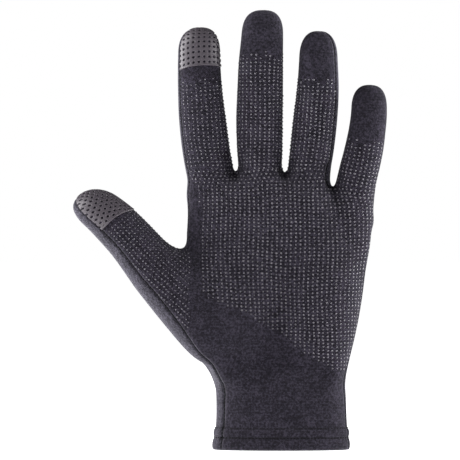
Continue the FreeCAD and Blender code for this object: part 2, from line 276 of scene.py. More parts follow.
def settle(p, rounds=2):
    """Moves points onto the surface along the field's slope."""
    for _ in range(rounds):
        g = gradient(p)
        move = field(p) / np.maximum((g * g).sum(1), 1e-6)
        p = p - np.clip(move, -1.0, 1.0)[:, None] * g
    return p


def unit(v):
    return v / np.maximum(np.linalg.norm(v, axis=1, keepdims=True), 1e-9)


# ---------------- the surface

def sampled_field(low, high, step):
    """The field on a grid, worked out exactly only near the surface."""
    coarse = 4
    counts = np.ceil((high - low) / (step * coarse)).astype(int)
    axes = [low[i] + (np.arange(counts[i]) + 0.5) * step * coarse for i in range(3)]
    centres = np.stack(np.meshgrid(*axes, indexing="ij"), axis=-1).reshape(-1, 3)
    rough = field(centres).reshape(counts)
    values = np.repeat(np.repeat(np.repeat(rough, coarse, 0), coarse, 1), coarse, 2)
    near = np.abs(values) < step * coarse * 2.2
    where = np.argwhere(near)
    values[near] = field(low + where * step)
    return values


def surface_net(values, low, step):
    """Triangles of the zero level of a grid, with one vertex in each cell that it crosses."""
    inside = values < 0
    size = np.array(values.shape) - 1
    corners = [(i, j, k) for i in (0, 1) for j in (0, 1) for k in (0, 1)]

    def corner_of(grid, c):
        return grid[c[0]:c[0] + size[0], c[1]:c[1] + size[1], c[2]:c[2] + size[2]]

    count = sum(corner_of(inside, c).astype(np.int8) for c in corners)
    active = (count > 0) & (count < 8)
    cells = np.argwhere(active)
    index = np.full(size, -1)
    index[active] = np.arange(len(cells))
    at_corner = {c: corner_of(values, c)[active] for c in corners}
    total, hits = np.zeros((len(cells), 3)), np.zeros(len(cells))
    for a in corners:
        for axis in range(3):
            if a[axis]:
                continue
            b = tuple(1 if i == axis else a[i] for i in range(3))
            fa, fb = at_corner[a], at_corner[b]
            crossed = (fa < 0) != (fb < 0)
            share = np.where(crossed, fa / np.where(crossed, fa - fb, 1), 0)
            point = np.array(a, float) + share[:, None] * np.eye(3)[axis]
            total += crossed[:, None] * point
            hits += crossed
    vertices = low + (cells + total / hits[:, None]) * step
    quads = []
    for axis in range(3):
        u, v = np.eye(3, dtype=int)[(axis + 1) % 3], np.eye(3, dtype=int)[(axis + 2) % 3]
        ahead = np.roll(inside, -1, axis)
        changed = inside != ahead
        edges = np.argwhere(changed)
        keep = (edges[:, axis] < size[axis]) & (edges >= (u + v)).all(1) & (edges < size).all(1)
        edges = edges[keep]
        outward = inside[tuple(edges.T)]
        ring = [index[tuple((edges - shift).T)] for shift in (u + v, v, 0 * u, u)]
        quad = np.stack(ring, axis=1)
        quads.append(np.where(outward[:, None], quad, quad[:, ::-1]))
    quads = np.vstack(quads)
    a, b, c, d = (vertices[quads[:, i]] for i in range(4))
    short = np.linalg.norm(a - c, axis=1) <= np.linalg.norm(b - d, axis=1)
    first = np.where(short[:, None], quads[:, [0, 1, 2]], quads[:, [0, 1, 3]])
    second = np.where(short[:, None], quads[:, [0, 2, 3]], quads[:, [1, 2, 3]])
    return vertices, np.vstack([first, second])


def cut(vertices, triangles, value, among):
    """Divides the triangles among which value changes sign, along its zero line.

    value is worked out at the vertices. Returns vertices, triangles, and value at all vertices.
    """
    value = np.where(np.abs(value) < 1e-3, 1e-3, value)
    positive = value[triangles] > 0
    crossing = among & positive.any(1) & ~positive.all(1)
    kept, split = triangles[~crossing], triangles[crossing]
    side = value[split] > 0
    lone = np.where(side.sum(1) == 1, side.argmax(1), (~side).argmax(1))
    rows = np.arange(len(split))
    a, b, c = (split[rows, (lone + i) % 3] for i in range(3))
    pairs = np.sort(np.vstack([np.stack([a, b], 1), np.stack([a, c], 1)]), axis=1)
    unique, inverse = np.unique(pairs, axis=0, return_inverse=True)
    inverse = inverse.ravel()
    i, j = unique.T
    t = (value[i] / (value[i] - value[j]))[:, None]
    made = vertices[i] * (1 - t) + vertices[j] * t
    new = len(vertices) + inverse
    ab, ac = new[:len(split)], new[len(split):]
    parts = [np.stack([a, ab, ac], 1), np.stack([ab, b, c], 1), np.stack([ab, c, ac], 1)]
    return np.vstack([vertices, made]), np.vstack([kept] + parts), np.concatenate([value, np.zeros(len(made))])


def vertex_normals(vertices, triangles):
    a, b, c = (vertices[triangles[:, i]] for i in range(3))
    face = np.cross(b - a, c - a)
    total = np.zeros_like(vertices)
    for i in range(3):
        np.add.at(total, triangles[:, i], face)
    return unit(total)


# ---------------- the seam between the panels

# Where the seam runs on the hand, as depth at the thumb's side and at the little finger's side.
SEAM_DEPTH = eased([(-10, -8.8, -4.0), (20, -8.6, -4.0), (36, -8.6, -4.2), (60, -8.0, -4.0), (85, 0.0, -2.5),
                    (104, 2.0, -1.0), (122, -2.0, -0.5), (140, -4.4, 1.0), (160, -4.6, 1.0)])
THUMB_SEAM_TURN = eased([(-80, 36), (-64, 38), (-52, 44), (-38, 54), (-20, 59), (10, 58), (40, 56), (60, 56)])


def seam_value(p, parts):
    """Distance in front of the seam, positive on the palm panel."""
    left, right = SEAM_DEPTH(p[:, 2])
    centre, _, half_width, _ = HAND.section(p[:, 2])
    share = np.clip((p[:, 0] - centre) / half_width * 0.5 + 0.5, 0, 1)
    sides = [left + (right - left) * share - p[:, 1]]
    for name, tube in TUBES.items():
        across, depth, along = tube.local(p).T
        section = tube.section(along)
        angle = np.radians(THUMB_SEAM_TURN(along)[0] if name == "thumb" else SEAM_TURN[name])
        sides.append((across - section[0]) * np.sin(angle) - (depth - section[1]) * np.cos(angle))
    near = np.stack(parts)
    weight = np.exp(-(near - near.min(0)) / 2.2)
    return (np.stack(sides) * weight).sum(0) / weight.sum(0)


def station(name, p):
    at, lean = FINGER_FRAMES[name]
    return ((p - np.array(at)) @ turn((0, 1, 0), lean))[:, 2]


JOINTS = {joint["child"]: joint for joint in frame["joints"]}
HINGES = {name: [station(name, np.array([JOINTS[f"{name}_{segment}"]["pos_m"]]) / MM)[0] for segment in segments]
          for name, segments in SEGMENTS.items()}
CUTS = {name: [FIRST_CUT] + [(a + b) / 2 for a, b in zip(hinges, hinges[1:])] for name, hinges in HINGES.items()}


def bend(piece):
    """Bakes a piece's transform into its mesh."""
    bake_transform(piece)


# ---------------- meshes and materials

def mesh_object(name, vertices, faces, material, normals=None, attributes=()):
    mesh = bpy.data.meshes.new(name)
    vertices, faces = np.asarray(vertices, float), np.asarray(faces)
    mesh.vertices.add(len(vertices))
    mesh.vertices.foreach_set("co", (vertices * MM).astype(np.float32).ravel())
    sides = faces.shape[1]
    mesh.loops.add(faces.size)
    mesh.loops.foreach_set("vertex_index", faces.astype(np.int32).ravel())
    mesh.polygons.add(len(faces))
    mesh.polygons.foreach_set("loop_start", np.arange(0, faces.size, sides, dtype=np.int32))
    mesh.update(calc_edges=True)
    mesh.validate()
    mesh.polygons.foreach_set("use_smooth", np.full(len(mesh.polygons), True))
    rest = mesh.attributes.new("rest", "FLOAT_VECTOR", "POINT")
    rest.data.foreach_set("vector", vertices.astype(np.float32).ravel())
    for key, values in dict(attributes).items():
        layer = mesh.attributes.new(key, "FLOAT", "POINT")
        layer.data.foreach_set("value", np.asarray(values, np.float32))
    if normals is not None:
        mesh.normals_split_custom_set_from_vertices(normals.tolist())
    piece = bpy.data.objects.new(name, mesh)
    bpy.context.collection.objects.link(piece)
    mesh.materials.append(material)
    return piece


class Nodes:
    """A short way to write a node material."""

    def __init__(self, name):
        self.material = bpy.data.materials.new(name)
        self.material.use_nodes = True
        self.tree = self.material.node_tree
        self.shader = self.tree.nodes["Principled BSDF"]

    def add(self, kind, inputs=None, **settings):
        node = self.tree.nodes.new(kind)
        for key, value in settings.items():
            setattr(node, key, value)
        for key, value in (inputs or {}).items():
            socket = node.inputs[key]
            if isinstance(value, bpy.types.NodeSocket):
                self.tree.links.new(value, socket)
            else:
                socket.default_value = value
        return node

    def math(self, operation, a, b=0.0, c=0.0):
        return self.add("ShaderNodeMath", {0: a, 1: b, 2: c}, operation=operation).outputs[0]

    def ramp(self, factor, low, high, to_low=0.0, to_high=1.0):
        inputs = {"Value": factor, "From Min": low, "From Max": high, "To Min": to_low, "To Max": to_high}
        return self.add("ShaderNodeMapRange", inputs, interpolation_type="SMOOTHSTEP").outputs[0]

    def mix(self, factor, a, b, blend="MIX"):
        node = self.add("ShaderNodeMix", data_type="RGBA", blend_type=blend)
        for socket, value in ((node.inputs[0], factor), (node.inputs[6], a), (node.inputs[7], b)):
            if isinstance(value, bpy.types.NodeSocket):
                self.tree.links.new(value, socket)
            else:
                socket.default_value = value if isinstance(value, float) else (*value, 1.0)
        return node.outputs[2]

    def attribute(self, name, output="Fac"):
        return self.add("ShaderNodeAttribute", attribute_name=name).outputs[output]

    def noise(self, vector, scale, detail=2.0, roughness=0.5):
        return self.add("ShaderNodeTexNoise", {"Vector": vector, "Scale": scale, "Detail": detail,
                                               "Roughness": roughness}).outputs["Fac"]

    def set(self, **inputs):
        for key, value in inputs.items():
            socket = self.shader.inputs[key.replace("_", " ")]
            if isinstance(value, bpy.types.NodeSocket):
                self.tree.links.new(value, socket)
            else:
                socket.default_value = value


def knit(name, dark, light, wale=1.0, course=0.8, depth=0.9, sheen=0.22):
    """Jersey knit: columns of loops, flecked yarn, painted shade along the seam's groove and along the dips of the
    hem's rows of stitches, and a soft brushed face.
    """
    n = Nodes(name)
    rest = n.attribute("rest", "Vector")
    parts = n.add("ShaderNodeSeparateXYZ", {0: rest}).outputs
    wobble = n.math("MULTIPLY_ADD", n.noise(rest, 0.25, 2.0), 2.4, -1.2)
    column = n.math("SINE", n.math("MULTIPLY", n.math("ADD", parts[0], wobble), 2 * math.pi / wale))
    row = n.math("SINE", n.math("MULTIPLY", n.math("ADD", parts[2], n.math("MULTIPLY", column, 0.18)),
                                2 * math.pi / course))
    loops = n.math("MULTIPLY_ADD", n.math("MULTIPLY", column, row), 0.5, 0.5)
    fleck = n.noise(rest, 0.85, 3.0, 0.75)
    patch = n.noise(rest, 0.12, 2.0)
    shade = n.math("MULTIPLY_ADD", fleck, 0.95, n.math("MULTIPLY_ADD", loops, 0.14, -0.05))
    shade = n.math("MULTIPLY_ADD", patch, 0.2, n.math("ADD", shade, -0.1))
    colour = n.mix(n.ramp(shade, 0.36, 0.74), dark, light)
    seam = n.attribute("seam")
    # painted shade: the colour is darkened towards near black in the seam's groove, where shade falls between the
    # panels
    colour = n.mix(n.ramp(seam, 0.1, 0.6, 0.65, 0.0), colour, (0.006, 0.006, 0.007))
    # painted shade along the dips of the hem's two rows of stitches, darkening the colour towards near black
    for row_height, painted_shade in ROW_PAINTED_SHADE.items():
        away = n.math("ABSOLUTE", n.math("SUBTRACT", parts[2], row_height))
        colour = n.mix(n.ramp(away, 0.1, 0.95, painted_shade, 0.0), colour, (0.004, 0.004, 0.005))
    groove = n.ramp(seam, 0.0, 1.3, -1.6, 0.0)
    height = n.math("ADD", n.math("MULTIPLY_ADD", fleck, 1.3, n.math("MULTIPLY", loops, 0.45)), groove)
    bump = n.add("ShaderNodeBump", {"Height": height, "Strength": depth, "Distance": 0.35 * MM})
    n.set(Base_Color=colour, Roughness=0.92, Sheen_Weight=sheen, Sheen_Roughness=0.45,
          Normal=bump.outputs[0], Specular_IOR_Level=0.15)
    n.shader.inputs["Sheen Tint"].default_value = (0.8, 0.78, 0.9, 1.0)
    return n.material


def silicone(name, colour):
    n = Nodes(name)
    rest = n.attribute("rest", "Vector")
    tone = n.mix(n.noise(rest, 0.6, 1.0), tuple(0.75 * c for c in colour), tuple(1.25 * c for c in colour))
    n.set(Base_Color=tone, Roughness=0.22, Specular_IOR_Level=0.55)
    return n.material


def patch_leather(name, colour):
    n = Nodes(name)
    rest = n.attribute("rest", "Vector")
    grain = n.noise(rest, 2.2, 3.0, 0.6)
    tone = n.mix(grain, tuple(0.8 * c for c in colour), tuple(1.2 * c for c in colour))
    hole = n.attribute("hole")
    tone = n.mix(n.ramp(hole, 0.35, 0.75), tone, (0.006, 0.006, 0.007))
    bump = n.add("ShaderNodeBump", {"Height": grain, "Strength": 0.35, "Distance": 0.1 * MM})
    n.set(Base_Color=tone, Roughness=n.ramp(grain, 0.2, 0.8, 0.42, 0.56), Normal=bump.outputs[0],
          Specular_IOR_Level=0.5)
    return n.material


def thread(name, colour):
    n = Nodes(name)
    rest = n.attribute("rest", "Vector")
    ply = n.noise(rest, 4.0, 2.0)
    bump = n.add("ShaderNodeBump", {"Height": ply, "Strength": 0.5, "Distance": 0.1 * MM})
    tone = n.mix(ply, tuple(0.7 * c for c in colour), tuple(1.3 * c for c in colour))
    n.set(Base_Color=tone, Roughness=0.85, Specular_IOR_Level=0.12, Normal=bump.outputs[0])
    return n.material


ROW_PAINTED_SHADE = {LOWER_ROW: 0.5, UPPER_ROW: 0.25}        # painted shade: how strongly the colour is darkened along the dip of each row of stitches
PALM_KNIT = knit("palm knit", (0.0045, 0.0037, 0.0066), (0.037, 0.032, 0.048), sheen=0.1)
BACK_KNIT = knit("back knit", (0.0095, 0.0085, 0.0125), (0.064, 0.059, 0.079))
GRIP = silicone("silicone print", (0.078, 0.072, 0.087))
LEATHER = patch_leather("touch patch", (0.052, 0.044, 0.054))
HEM_THREAD = thread("hem thread", (0.0075, 0.007, 0.0085))
SEAM_THREAD = thread("seam thread", (0.0035, 0.0035, 0.0042))


# ---------------- the cloth

def hem_swell(z):
    """How far the double cloth of the hem swells between its rows of stitching."""
    rows = (0.0, LOWER_ROW, UPPER_ROW)
    swell = np.zeros_like(z)
    for low, high in zip(rows, rows[1:]):
        share = np.clip((z - low) / (high - low), 0, 1)
        swell += HEM_SWELL * np.sqrt(np.sin(math.pi * share).clip(0, 1))
    return np.where(z < 0.5, np.maximum(swell, 0.5), swell)


def make_cloth():
    """The whole cloth, cut along the seam and across the fingers."""
    values = sampled_field(LOW, HIGH, STEP)
    vertices, triangles = surface_net(values, LOW, STEP)
    vertices = settle(vertices)
    edge = vertices[:, 2] - HEM_EDGE
    vertices, triangles, edge = cut(vertices, triangles, edge, np.ones(len(triangles), bool))
    above = (edge[triangles] > -1e-6).all(1) & (vertices[triangles][:, :, 2].mean(1) > HEM_EDGE)
    triangles = triangles[above]
    parts = np.stack(parts_at(vertices))
    vertices, triangles, _ = cut(vertices, triangles, seam_value(vertices, parts), np.ones(len(triangles), bool))
    for name in FINGER_FRAMES:
        for s in CUTS[name]:
            owner = np.stack(parts_at(vertices)).argmin(0) == NAMES.index(name)
            along = station(name, vertices)
            among = (owner & (along > s - 6))[triangles].all(1)
            vertices, triangles, _ = cut(vertices, triangles, along - s, among)
    used = np.unique(triangles)
    renumber = np.full(len(vertices), -1)
    renumber[used] = np.arange(len(used))
    vertices, triangles = vertices[used], renumber[triangles]
    return vertices, triangles


vertices, triangles = make_cloth()
parts = np.stack(parts_at(vertices))
seam = seam_value(vertices, parts)
outward = unit(gradient(vertices))
swell = hem_swell(vertices[:, 2]) - GROOVE_DEPTH * np.exp(-(seam / GROOVE_WIDTH) ** 2)
surface = vertices + outward * swell[:, None]
normals = vertex_normals(surface, triangles)
edge_loop = np.where(np.abs(vertices[:, 2] - HEM_EDGE) < 1e-3)[0]

centre = vertices[triangles].mean(1)
centre_parts = np.stack(parts_at(centre))
is_palm = seam_value(centre, centre_parts) > 0
owner = centre_parts.argmin(0)
section = np.full(len(triangles), HAND_PIECE)           # which piece each triangle belongs to
for number, (name, order) in enumerate(PIECES):
    section[(owner == NAMES.index(name)) & (station(name, centre) > CUTS[name][order])] = number


def take(mask):
    """The part of the cloth that a mask of triangles picks."""
    used, faces = np.unique(triangles[mask], return_inverse=True)
    return used, faces.reshape(-1, 3)


INNER_EDGE = 11.0                         # the cloth's inside starts here, under the band's top
for side, material, chosen in (("palm", PALM_KNIT, is_palm), ("back", BACK_KNIT, ~is_palm)):
    used, faces = take(chosen & (section == HAND_PIECE))
    inner = vertices[used] - outward[used] * CLOTH
    above = (vertices[used][faces][:, :, 2] > INNER_EDGE).all(1)
    both = np.vstack([surface[used], inner])
    all_faces = np.vstack([faces, faces[above][:, ::-1] + len(used)])
    both_normals = np.vstack([normals[used], -outward[used]])
    far = np.full(len(used), FAR_FROM_SEAM)
    keep, renumbered = np.unique(all_faces, return_inverse=True)
    piece = mesh_object(f"{side}_cloth_hand", both[keep], renumbered.reshape(-1, 3), material, both_normals[keep],
                        {"seam": np.concatenate([np.abs(seam[used]), far])[keep]})
    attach(piece, "hand")
    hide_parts(f"{side}_panel_hand")
    for number, (name, order) in enumerate(PIECES):
        used, faces = take(chosen & (section == number))
        segment = SEGMENTS[name][order]
        piece = mesh_object(f"{side}_cloth_{name}_{segment}", surface[used], faces, material, normals[used],
                            {"seam": np.abs(seam[used])})
        bend(piece)
        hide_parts(f"{side}_panel_{name}_{segment}")


# ---------------- small repeated pieces

def scatter(shape, faces, places, axes, sizes):
    """Copies of a small shape: its points, each turned to its axes, (across, along, up), and scaled."""
    points = np.einsum("kj,nji->nki", shape, axes) * sizes[:, None, None] + places[:, None, :]
    all_faces = faces[None] + (np.arange(len(places)) * len(shape))[:, None, None]
    return points.reshape(-1, 3), all_faces.reshape(-1, faces.shape[1])


def between_rings(rings, sides):
    """Quads that join rings of vertices, each ring closed, into the side of a tube."""
    first = np.arange(rings - 1)[:, None] * sides
    a = (first + np.arange(sides)).ravel()
    b = (first + (np.arange(sides) + 1) % sides).ravel()
    return np.stack([a, b, b + sides, a + sides], axis=1)


def dome_shape(radius, height, sides=10):
    """A round drop: a skirt sunk into the cloth, a shoulder and a flat crown. Faces are triangles."""
    rings = ((1.0, -0.25), (0.97, 0.35), (0.72, 0.8), (0.36, 0.98))
    points = [(radius * r * math.cos(2 * math.pi * i / sides), radius * r * math.sin(2 * math.pi * i / sides),
               height * up) for r, up in rings for i in range(sides)] + [(0.0, 0.0, height)]
    skirt = between_rings(len(rings), sides)[:, [0, 1, 2, 0, 2, 3]].reshape(-1, 3)
    last = (len(rings) - 1) * sides
    crown = [(last + i, last + (i + 1) % sides, len(points) - 1) for i in range(sides)]
    return np.array(points), np.vstack([skirt, crown])


def stitch_shape(length, radius, sides=8):
    """One stitch of thread, lying along its second axis and pulled into the cloth at both ends."""
    stations = ((-0.5, 0.35, -1.2), (-0.38, 0.85, -0.3), (-0.15, 1.0, 0.25), (0.15, 1.0, 0.25), (0.38, 0.85, -0.3),
                (0.5, 0.35, -1.2))
    points = [(radius * r * math.cos(2 * math.pi * i / sides), length * along,
               radius * (lift + r * math.sin(2 * math.pi * i / sides)))
              for along, r, lift in stations for i in range(sides)]
    return np.array(points), between_rings(len(stations), sides)[:, [0, 2, 1, 0, 3, 2]].reshape(-1, 3)


def ray_hit(origins, directions, reach, pace=0.8):
    """Where rays from inside first leave the cloth, and which of them do."""
    low, out = np.zeros(len(origins)), np.zeros(len(origins), bool)
    for distance in np.arange(pace, reach, pace):
        out |= field(origins + directions * distance) > 0
        low = np.where(out, low, distance)
    high = low + pace
    for _ in range(10):
        middle = (low + high) / 2
        inside = field(origins + directions * middle[:, None]) < 0
        low, high = np.where(inside, middle, low), np.where(inside, high, middle)
    return origins + directions * ((low + high) / 2)[:, None], out


def frames_on(points, along):
    """Axes at points on the cloth: across, along and out of the surface."""
    up = unit(gradient(points))
    along = unit(along - (along * up).sum(1, keepdims=True) * up)
    return np.stack([np.cross(along, up), along, up], axis=1)


def length_along(points):
    return np.concatenate([[0], np.cumsum(np.linalg.norm(np.diff(points, axis=0), axis=1))])


def resampled(at, length, points):
    return np.stack([np.interp(at, length, points[:, i]) for i in range(3)], axis=1)


def spaced(points, pitch):
    """Points at equal spacing along a closed line, and its direction there."""
    loop = np.vstack([points, points[:1]])
    length = length_along(loop)
    count = int(round(length[-1] / pitch))
    at = (np.arange(count) + 0.5) * length[-1] / count
    where = resampled(at, length, loop)
    ahead = resampled((at + 0.2) % length[-1], length, loop)
    return where, unit(ahead - where)


# ---------------- the hem

def ring_at(z, angles):
    directions = np.stack([np.cos(angles), np.sin(angles), np.zeros(len(angles))], axis=1)
    return ray_hit(np.tile([0.0, 0.0, z], (len(angles), 1)), directions, 60.0)[0]


def make_hem():
    """The folded edge, the turned-up band inside, and two rows of stitches outside."""
    loop = edge_loop[np.argsort(np.arctan2(vertices[edge_loop, 1], vertices[edge_loop, 0]))]
    angles = np.arctan2(vertices[loop, 1], vertices[loop, 0])
    # How far inside the cloth's face, and how high, from the fold's outer edge round and up to the band's top.
    profile = [(-0.42, 0.45), (0.0, 0.1), (0.6, 0.0), (1.3, 0.05), (1.8, 0.45), (1.95, 1.1), (2.0, 3.2),
               (1.95, 5.9), (1.75, LOWER_ROW), (1.95, 6.9), (2.0, 9.0), (1.9, 11.4), (1.6, 11.9), (CLOTH, HEM_TOP)]
    rows = [surface[loop]]
    for inset, z in profile:
        ring = ring_at(max(z, 0.0), angles)
        flat = gradient(ring) * (1, 1, 0)
        row = ring - unit(flat) * inset
        row[:, 2] = z
        rows.append(row)
    faces = between_rings(len(rows), len(loop))[:, [0, 3, 2, 1]]
    points = np.vstack(rows)
    far = np.full(len(points), FAR_FROM_SEAM)
    piece = mesh_object("hem_fold", points, faces, BACK_KNIT, attributes={"seam": far})
    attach(piece, "hand")
    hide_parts("hem_turn_up")
    shape, shape_faces = stitch_shape(1.05, 0.33)
    rows = (("lower", LOWER_ROW, 0.22, SEAM_THREAD), ("upper", UPPER_ROW, 0.0, HEM_THREAD))
    for label, z, lift, material in rows:
        line = ring_at(z, np.linspace(0, 2 * math.pi, 720, endpoint=False))
        where, along = spaced(line, STITCH_PITCH)
        axes = frames_on(where, along)
        points, faces = scatter(shape, shape_faces, where + axes[:, 2] * lift, axes, np.ones(len(where)))
        piece = mesh_object(f"hem_stitches_{label}", points, faces, material)
        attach(piece, "hand")
        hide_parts("hem_stitching")


make_hem()


# ---------------- the seam's thread

def seam_edges():
    """Edges between the palm panel and the back panel, with the section of finger that they are in."""
    pairs = np.vstack([triangles[:, [0, 1]], triangles[:, [1, 2]], triangles[:, [2, 0]]])
    face = np.tile(np.arange(len(triangles)), 3)
    key = np.sort(pairs, axis=1)
    order = np.lexsort((key[:, 1], key[:, 0]))
    key, face = key[order], face[order]
    same = (key[1:] == key[:-1]).all(1)
    first, second = face[:-1][same], face[1:][same]
    differs = is_palm[first] != is_palm[second]
    return key[:-1][same][differs], section[first][differs]


def chains(edges):
    """Joins edges end to end into lines of vertex numbers."""
    beside = {}
    for a, b in edges.tolist():
        beside.setdefault(a, []).append(b)
        beside.setdefault(b, []).append(a)
    seen, lines = set(), []
    for start in sorted(beside, key=lambda v: len(beside[v])):
        if start in seen:
            continue
        line = [start]
        seen.add(start)
        while True:
            ahead = [v for v in beside[line[-1]] if v not in seen]
            if not ahead:
                break
            line.append(ahead[0])
            seen.add(ahead[0])
        lines.append(line)
    return [line for line in lines if len(line) > 4]


def thread_along(line):
    """A laid thread with a gentle twist, following a line of vertices of the cloth."""
    points = surface[line]
    for _ in range(4):
        points[1:-1] = (points[:-2] + 2 * points[1:-1] + points[2:]) / 4
    length = length_along(points)
    count = max(int(length[-1] / 0.32), 3)
    at = np.linspace(0, length[-1], count)
    centre = resampled(at, length, points)
    along = unit(np.gradient(centre, axis=0))
    up = unit(resampled(at, length, outward[line]))
    across = unit(np.cross(along, up))
    sides = 6
    ring = np.arange(sides) * 2 * math.pi / sides
    radius = 0.08 + 0.30 * np.abs(np.sin(math.pi * at / STITCH_PITCH)) ** 1.6
    points = (centre[:, None] + 0.02 * up[:, None] + radius[:, None, None]
              * (np.cos(ring)[None, :, None] * across[:, None] + np.sin(ring)[None, :, None] * up[:, None]))
    return points.reshape(-1, 3), between_rings(count, sides)


def make_threads():
    edges, where = seam_edges()
    for number, (name, order) in enumerate([("hand", None)] + PIECES, start=HAND_PIECE):
        all_points, all_faces, total = [], [], 0
        for line in chains(edges[where == number]):
            points, faces = thread_along(line)
            all_points.append(points)
            all_faces.append(faces + total)
            total += len(points)
        label = "hand" if order is None else f"{name}_{SEGMENTS[name][order]}"
        piece = mesh_object(f"seam_thread_{label}", np.vstack(all_points), np.vstack(all_faces), SEAM_THREAD)
        if order is None:
            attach(piece, "hand")
            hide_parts("side_seams_wrist")
        else:
            bend(piece)
            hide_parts(f"seam_{label}")


make_threads()


# ---------------- the grip print

ACROSS, UP = 2.36, 1.86                   # pitch of the dots
DOT = dome_shape(0.53, 0.33)
random = np.random.default_rng(7)
# The print's lower edge on the palm, as height across the hand, and the tops of the printed lengths.
PRINT_FLOOR = eased([(-60, 112), (-46, 110), (-40, 83), (-31, 75), (-19, 70.5), (-9, 63.5), (0, 59.5), (9, 52),
                     (20, 44.5), (34, 40), (52, 37)])
PRINT_TOPS = {"index": 46.5, "middle": 61.0, "ring": 48.5, "little": 27.0, "thumb": 31.5}


def warped(points):
    """The cloth stretches unevenly, so the print's rows wander a little, and no dot is quite in line."""
    x, _, z = points.T
    points = points + random.normal(0, 0.09, points.shape)
    points[:, 2] += 0.7 * np.sin(x / 13 + 0.8) * np.sin(z / 19) + 0.35 * np.sin(x / 5 + z / 9)
    points[:, 0] += 0.35 * np.sin(z / 8 + x / 17)
    return points


def cloth_length(hit, good, gap, longest):
    """Length along a row of hits: a miss counts as gap, and no step as more than longest."""
    step = np.where(good[1:] & good[:-1], np.linalg.norm(np.diff(hit, axis=0), axis=1), gap)
    return np.concatenate([[0], np.cumsum(np.minimum(step, longest))])


def columns_in(length):
    return np.arange(math.ceil(length[0] / ACROSS), math.floor(length[-1] / ACROSS) + 1) * ACROSS


def palm_dots():
    """Dots on the palm, spaced along the cloth from the middle of the hand."""
    found = []
    for z in np.arange(38.0, 152.0, UP):
        x = np.arange(-52.0, 54.0, 0.3)
        start = np.stack([x, np.zeros(len(x)), np.full(len(x), z)], axis=1)
        hit, good = ray_hit(start, np.tile([0.0, -1.0, 0.0], (len(x), 1)), 34.0)
        length = cloth_length(hit, good, 0.3, 3.0)
        length -= np.interp(0.0, x, length)
        at = columns_in(length)
        column = np.interp(at, length, x)
        ok = np.interp(column, x, good.astype(float)) > 0.99
        found.append(np.stack([column, np.interp(column, x, hit[:, 1]), np.full(len(at), z)], axis=1)[ok])
    points = settle(warped(np.vstack(found)))
    keep = points[:, 2] > PRINT_FLOOR(points[:, 0])[0] + random.uniform(-0.8, 0.8, len(points))
    for name in FINGER_FRAMES:
        near = np.stack(parts_at(points)).argmin(0) == NAMES.index(name)
        keep &= ~(near & (station(name, points) > FIRST_CUT - 0.3))
    band = points[:, 0] < np.interp(points[:, 2], [118, 134, 152], [-40.5, -42.5, -60])
    return points[keep & ~band], np.array([0.0, 0.0, 1.0])


def finger_dots(name, low, high):
    """Dots round one finger or the thumb, spaced along the cloth from the middle of its pad."""
    tube, (at, lean) = TUBES[name], FINGER_FRAMES[name]
    axes = turn((0, 1, 0), lean)
    forward = THUMB_ROLL if name == "thumb" else 0.0
    angles = np.radians(np.arange(-112.0, 112.0, 1.5) + forward)
    directions = np.stack([np.sin(angles), -np.cos(angles), np.zeros(len(angles))], axis=1) @ axes.T
    found = []
    for s in np.arange(low, high, UP):
        centre = np.array(at) + axes @ np.array([0, 0, s])
        if name != "thumb":
            centre[0] = tube.section(np.array([centre[2]]))[0][0]
        hit, good = ray_hit(np.tile(centre, (len(angles), 1)), directions, 24.0 if name == "thumb" else 15.5)
        length = cloth_length(hit, good, 1.0, 1.0)
        length -= length[len(length) // 2]
        spots = columns_in(length)
        ok = np.interp(spots, length, good.astype(float)) > 0.99
        found.append(resampled(spots, length, hit)[ok])
    return settle(warped(np.vstack(found))), axes @ np.array([0.0, 0.0, 1.0])


def clear_of_seam(points, margin=1.0):
    return seam_value(points, np.stack(parts_at(points))) > margin


def make_dots(label, points, along, nodes, finger=None):
    axes = frames_on(points, np.tile(along, (len(points), 1)))
    sizes = random.uniform(0.7, 1.1, len(points)) * np.interp(points[:, 0], [-46, -24], [0.8, 1.0])
    dots, faces = scatter(*DOT, points - axes[:, 2] * 0.02, axes, sizes)
    piece = mesh_object(f"grip_dots_{label}", dots, faces, GRIP)
    if finger is None:
        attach(piece, "hand")
    else:
        bend(piece)
    for node in nodes:
        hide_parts(node)


def make_print():
    points, along = palm_dots()
    make_dots("palm", points[clear_of_seam(points)], along, ["grip_print_palm"])
    for name in FINGER_FRAMES:
        thumb = name == "thumb"
        points, along = finger_dots(name, -50.0 if thumb else FIRST_CUT, PRINT_TOPS[name])
        points = points[clear_of_seam(points)]
        s = station(name, points)
        fade = np.clip((PRINT_TOPS[name] - s) / (1.0 if thumb else 7.0), 0.0, 1.0)
        keep = random.uniform(0, 1, len(points)) < 0.25 + fade
        if thumb:
            root = (s < FIRST_CUT) & (points[:, 0] < -46.5) & (points[:, 2] > 62)
            make_dots("thumb_root", points[root & keep], along, ["grip_print_thumb_root"])
        edges = CUTS[name] + [1000.0]
        for order, segment in enumerate(SEGMENTS[name]):
            mine = keep & (s > edges[order]) & (s <= edges[order + 1])
            if mine.sum() < 8:
                continue
            node = f"grip_print_{name}_{segment}"
            nodes = [node] if node in frame["nodes"] else []
            make_dots(f"{name}_{segment}", points[mine], along, nodes, name)


make_print()


# ---------------- the touchscreen patches

# The patches' lower edges: height across the index finger, and station across the thumb.
INDEX_EDGE = eased([(-58, 192.5), (-51.6, 193.7), (-47, 195.2), (-41, 196.0), (-33, 195.8), (-28, 195.0)])
THUMB_EDGE = eased([(-16, 31.8), (-6, 32.7), (3, 32.8), (8, 31.4), (13, 28.8)])
# Spacing of the holes, across and along for the index finger, along and across for the thumb.
HOLE_PITCH = {"index": (2.35, 2.65), "thumb": (2.6, 2.15)}
HOLE_RADIUS, HOLE_DEPTH = 0.66, 0.55
PATCH_LIFT, RIM_LIFT = 0.42, 0.14         # how far the patch and its lower rim stand above the cloth


